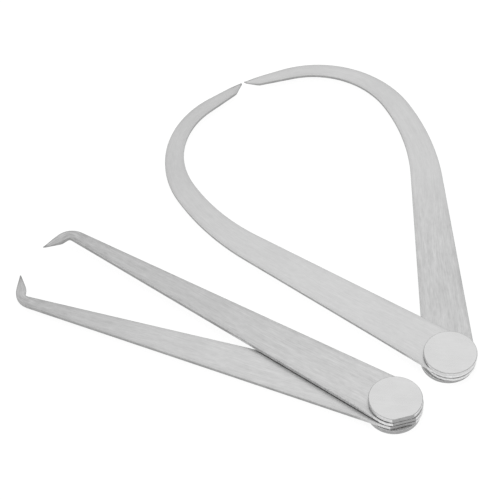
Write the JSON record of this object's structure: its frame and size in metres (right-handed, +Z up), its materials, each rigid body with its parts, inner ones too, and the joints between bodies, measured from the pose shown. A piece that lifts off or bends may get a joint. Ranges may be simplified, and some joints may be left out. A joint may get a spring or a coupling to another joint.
{
  "type": "firm joint caliper set",
  "caption": "Steel outside caliper with bowed legs and inside caliper with crossed, hooked legs, each on a flush-riveted firm joint, lying side by side.",
  "frame": {"origin": "on the outside caliper's pivot axis, in the outer face of its bottom disc, which the set rests on", "axes": "+Z up, along both pivot axes; +Y from the outside caliper's pivot to half-way between its points; +X to its right leg's side"},
  "size_m": [0.1819, 0.1808, 0.0084],
  "materials": {
    "leg_steel": "brushed along the leg",
    "disc_steel": "fine ground, flush with the rivet",
    "spring_steel": "dark tempered",
    "friction_fibre": "dark hard fibre"
  },
  "bodies": {
    "outside_caliper": {"outside_bottom_disc": "disc_steel", "outside_spring_washer": "spring_steel", "outside_lower_washer": "friction_fibre", "outside_middle_washer": "friction_fibre", "outside_upper_washer": "friction_fibre", "outside_top_disc": "disc_steel", "outside_rivet": "disc_steel", "outside_left_leg": "leg_steel"},
    "outside_right_arm": {"outside_right_leg": "leg_steel"},
    "inside_caliper": {"inside_bottom_disc": "disc_steel", "inside_spring_washer": "spring_steel", "inside_lower_washer": "friction_fibre", "inside_middle_washer": "friction_fibre", "inside_upper_washer": "friction_fibre", "inside_top_disc": "disc_steel", "inside_rivet": "disc_steel", "inside_lower_leg": "leg_steel"},
    "inside_upper_arm": {"inside_upper_leg": "leg_steel"}
  },
  "joints": [
    {"name": "outside_joint", "type": "hinge", "parent": "outside_caliper", "child": "outside_right_arm", "pos_m": [0, 0, 0.0025], "axis": [0, 0, 1], "range_deg": [-110, 0.35]},
    {"name": "inside_lift", "type": "slide", "parent": "outside_caliper", "child": "inside_caliper", "axis": [0, 0, 1], "range_m": [0, 0.03]},
    {"name": "inside_joint", "type": "hinge", "parent": "inside_caliper", "child": "inside_upper_arm", "pos_m": [-0.0295, -0.0095, 0.0052], "axis": [0, 0, 1], "range_deg": [-8, 85]}
  ]
}
